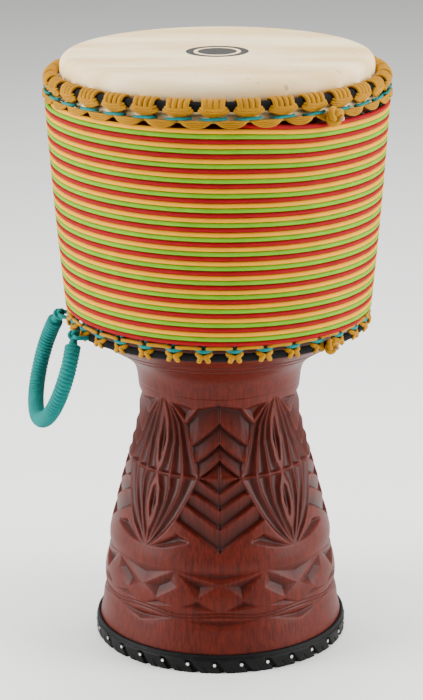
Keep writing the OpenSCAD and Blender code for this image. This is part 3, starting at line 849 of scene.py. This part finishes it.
# ---- Foot rubber --------------------------------------------------------------------------------
# A strip cut from the tread of a tyre, bent round the foot, turned in under it, and nailed on. Its
# slanting blocks stand out from the strip, and two fine ribs run along its top edge.
tread_out, tread_height, sole, sole_inside, wood_foot = 130.5, 19, 3, 106, 126.05
blocks = 30


def black_rubber():
    """Vulcanised tyre rubber: near black, with the dust of use as lighter specks and a dull shine."""
    made, tree, shader = new_material("vulcanised_tyre_rubber", {"Specular IOR Level": 0.15})
    place = add_node(tree, "ShaderNodeTexCoord")
    dust = add_node(tree, "ShaderNodeTexNoise", {}, {"Vector": place.outputs["Object"], "Scale": 160.0,
                                                    "Detail": 5.0})
    colour = add_node(tree, "ShaderNodeValToRGB", {}, {"Fac": dust.outputs["Fac"]})
    colour.color_ramp.elements[0].color = hex_colour("#040404")
    colour.color_ramp.elements[1].color = hex_colour("#141414")
    colour.color_ramp.elements[0].position = 0.4
    rough = add_node(tree, "ShaderNodeMapRange", {}, {"Value": dust.outputs["Fac"], "To Min": 0.4,
                                                     "To Max": 0.7})
    relief = add_node(tree, "ShaderNodeBump", {}, {"Height": dust.outputs["Fac"], "Strength": 0.2,
                                                   "Distance": 0.0005})
    tree.links.new(colour.outputs[0], shader.inputs["Base Color"])
    tree.links.new(rough.outputs[0], shader.inputs["Roughness"])
    tree.links.new(relief.outputs[0], shader.inputs["Normal"])
    return made


tread_turns = 1080
tread_turn = (np.arange(tread_turns) / tread_turns * 360)[None, :]
tread_level = np.concatenate([np.linspace(0, 15, 20), np.linspace(15.5, tread_height, 9)])[:, None]
block_share = (tread_turn / (360 / blocks) + (tread_level - 4) * 0.028) % 1
groove_wall = np.minimum(block_share, 1 - block_share) * 360 / blocks * math.radians(1) * tread_out
groove = np.clip(3.2 - groove_wall, 0, 1) * 3.2 * np.clip((13.5 - tread_level) / 2, 0, 1)
second = np.abs(block_share - 0.45) * 360 / blocks * math.radians(1) * tread_out
sipe = np.clip(1.1 - second, 0, 1) * 1.3 * np.clip((8 - tread_level) / 2, 0, 1)
top_ribs = np.where(tread_level > 14, 2.0 - 0.9 * np.abs(np.sin((tread_level - 15) / 2 * math.pi)), 0)
tread_reach = tread_out - np.maximum(groove, sipe) - top_ribs - 0.8 * np.clip(1.5 - tread_level, 0, 1)
inside = np.array([[wood_foot, tread_height], [wood_foot, sole], [sole_inside, sole], [sole_inside, 0]])
tread_radius = np.concatenate([tread_reach, np.repeat(inside[:, :1], tread_turns, 1)])
tread_heights = np.concatenate([tread_level, inside[:, 1:]]) + 0 * tread_turn
tread_angle = np.radians(tread_turn)
tread_points = np.stack([tread_radius * np.sin(tread_angle), -tread_radius * np.cos(tread_angle),
                         tread_heights], -1) * MM
surface("tyre_tread_strip", tread_points[None], True, black_rubber(), "drum", ["foot_tread"])

# Bright steel nails, driven through the rubber: worn to a dull shine
nail, nail_tree, nail_shader = new_material("bright_steel_nail", {"Metallic": 1.0})
nail_place = add_node(nail_tree, "ShaderNodeTexCoord")
nail_wear = add_node(nail_tree, "ShaderNodeTexNoise", {}, {"Vector": nail_place.outputs["Object"],
                                                          "Scale": 500.0})
nail_tone = add_node(nail_tree, "ShaderNodeMix", {"data_type": "RGBA"},
                     {"Factor": nail_wear.outputs["Fac"], 6: hex_colour("#C9C4BA"), 7: hex_colour("#EFECE6")})
nail_rough = add_node(nail_tree, "ShaderNodeMapRange", {}, {"Value": nail_wear.outputs["Fac"],
                                                           "To Min": 0.25, "To Max": 0.45})
nail_tree.links.new(nail_tone.outputs[2], nail_shader.inputs["Base Color"])
nail_tree.links.new(nail_rough.outputs[0], nail_shader.inputs["Roughness"])
frame["nodes"]["foot_nails"].data.materials.clear()
frame["nodes"]["foot_nails"].data.materials.append(nail)

# ---- Floor and light ----------------------------------------------------------------------------
# A pale studio floor before a bright backdrop, two large soft lights left and right of the drum, and
# one above.
floor_half = 6.0
floor_mesh = bpy.data.meshes.new("floor")
floor_mesh.from_pydata([(-floor_half, -floor_half, 0), (floor_half, -floor_half, 0),
                        (floor_half, floor_half, 0), (-floor_half, floor_half, 0)], [], [(0, 1, 2, 3)])
floor = bpy.data.objects.new("floor", floor_mesh)
bpy.context.collection.objects.link(floor)
pale = new_material("pale_studio_floor", {"Base Color": hex_colour("#F4F4F2"), "Roughness": 0.85})[0]
floor_mesh.materials.append(pale)

world = bpy.data.worlds.new("studio")
world.use_nodes = True
sky = world.node_tree
way = add_node(sky, "ShaderNodeTexCoord")
apart = add_node(sky, "ShaderNodeSeparateXYZ", {}, {0: way.outputs["Generated"]})
backdrop = add_node(sky, "ShaderNodeMapRange", {}, {"Value": apart.outputs["Y"], "From Min": 0.1,
                                                   "From Max": 0.7, "To Min": 0.15, "To Max": 1.0})
sky.links.new(backdrop.outputs[0], sky.nodes["Background"].inputs["Strength"])
sky.nodes["Background"].inputs["Color"].default_value = (1, 1, 1, 1)
bpy.context.scene.world = world

for name, place, size, power in (("left", (-1.9, -0.5, 0.8), 1.2, 84), ("right", (1.9, -0.5, 0.8), 1.2, 78),
                                 ("above", (0, 0.5, 2.9), 2.6, 160)):
    lamp = bpy.data.objects.new("light_" + name, bpy.data.lights.new("light_" + name, "AREA"))
    lamp.data.size = size
    lamp.data.energy = power
    aim = Matrix.Translation(place)
    look = (Matrix.Translation((0, 0, 0.33)).translation - aim.translation).to_track_quat("-Z", "Y")
    lamp.matrix_world = aim @ look.to_matrix().to_4x4()
    bpy.context.collection.objects.link(lamp)
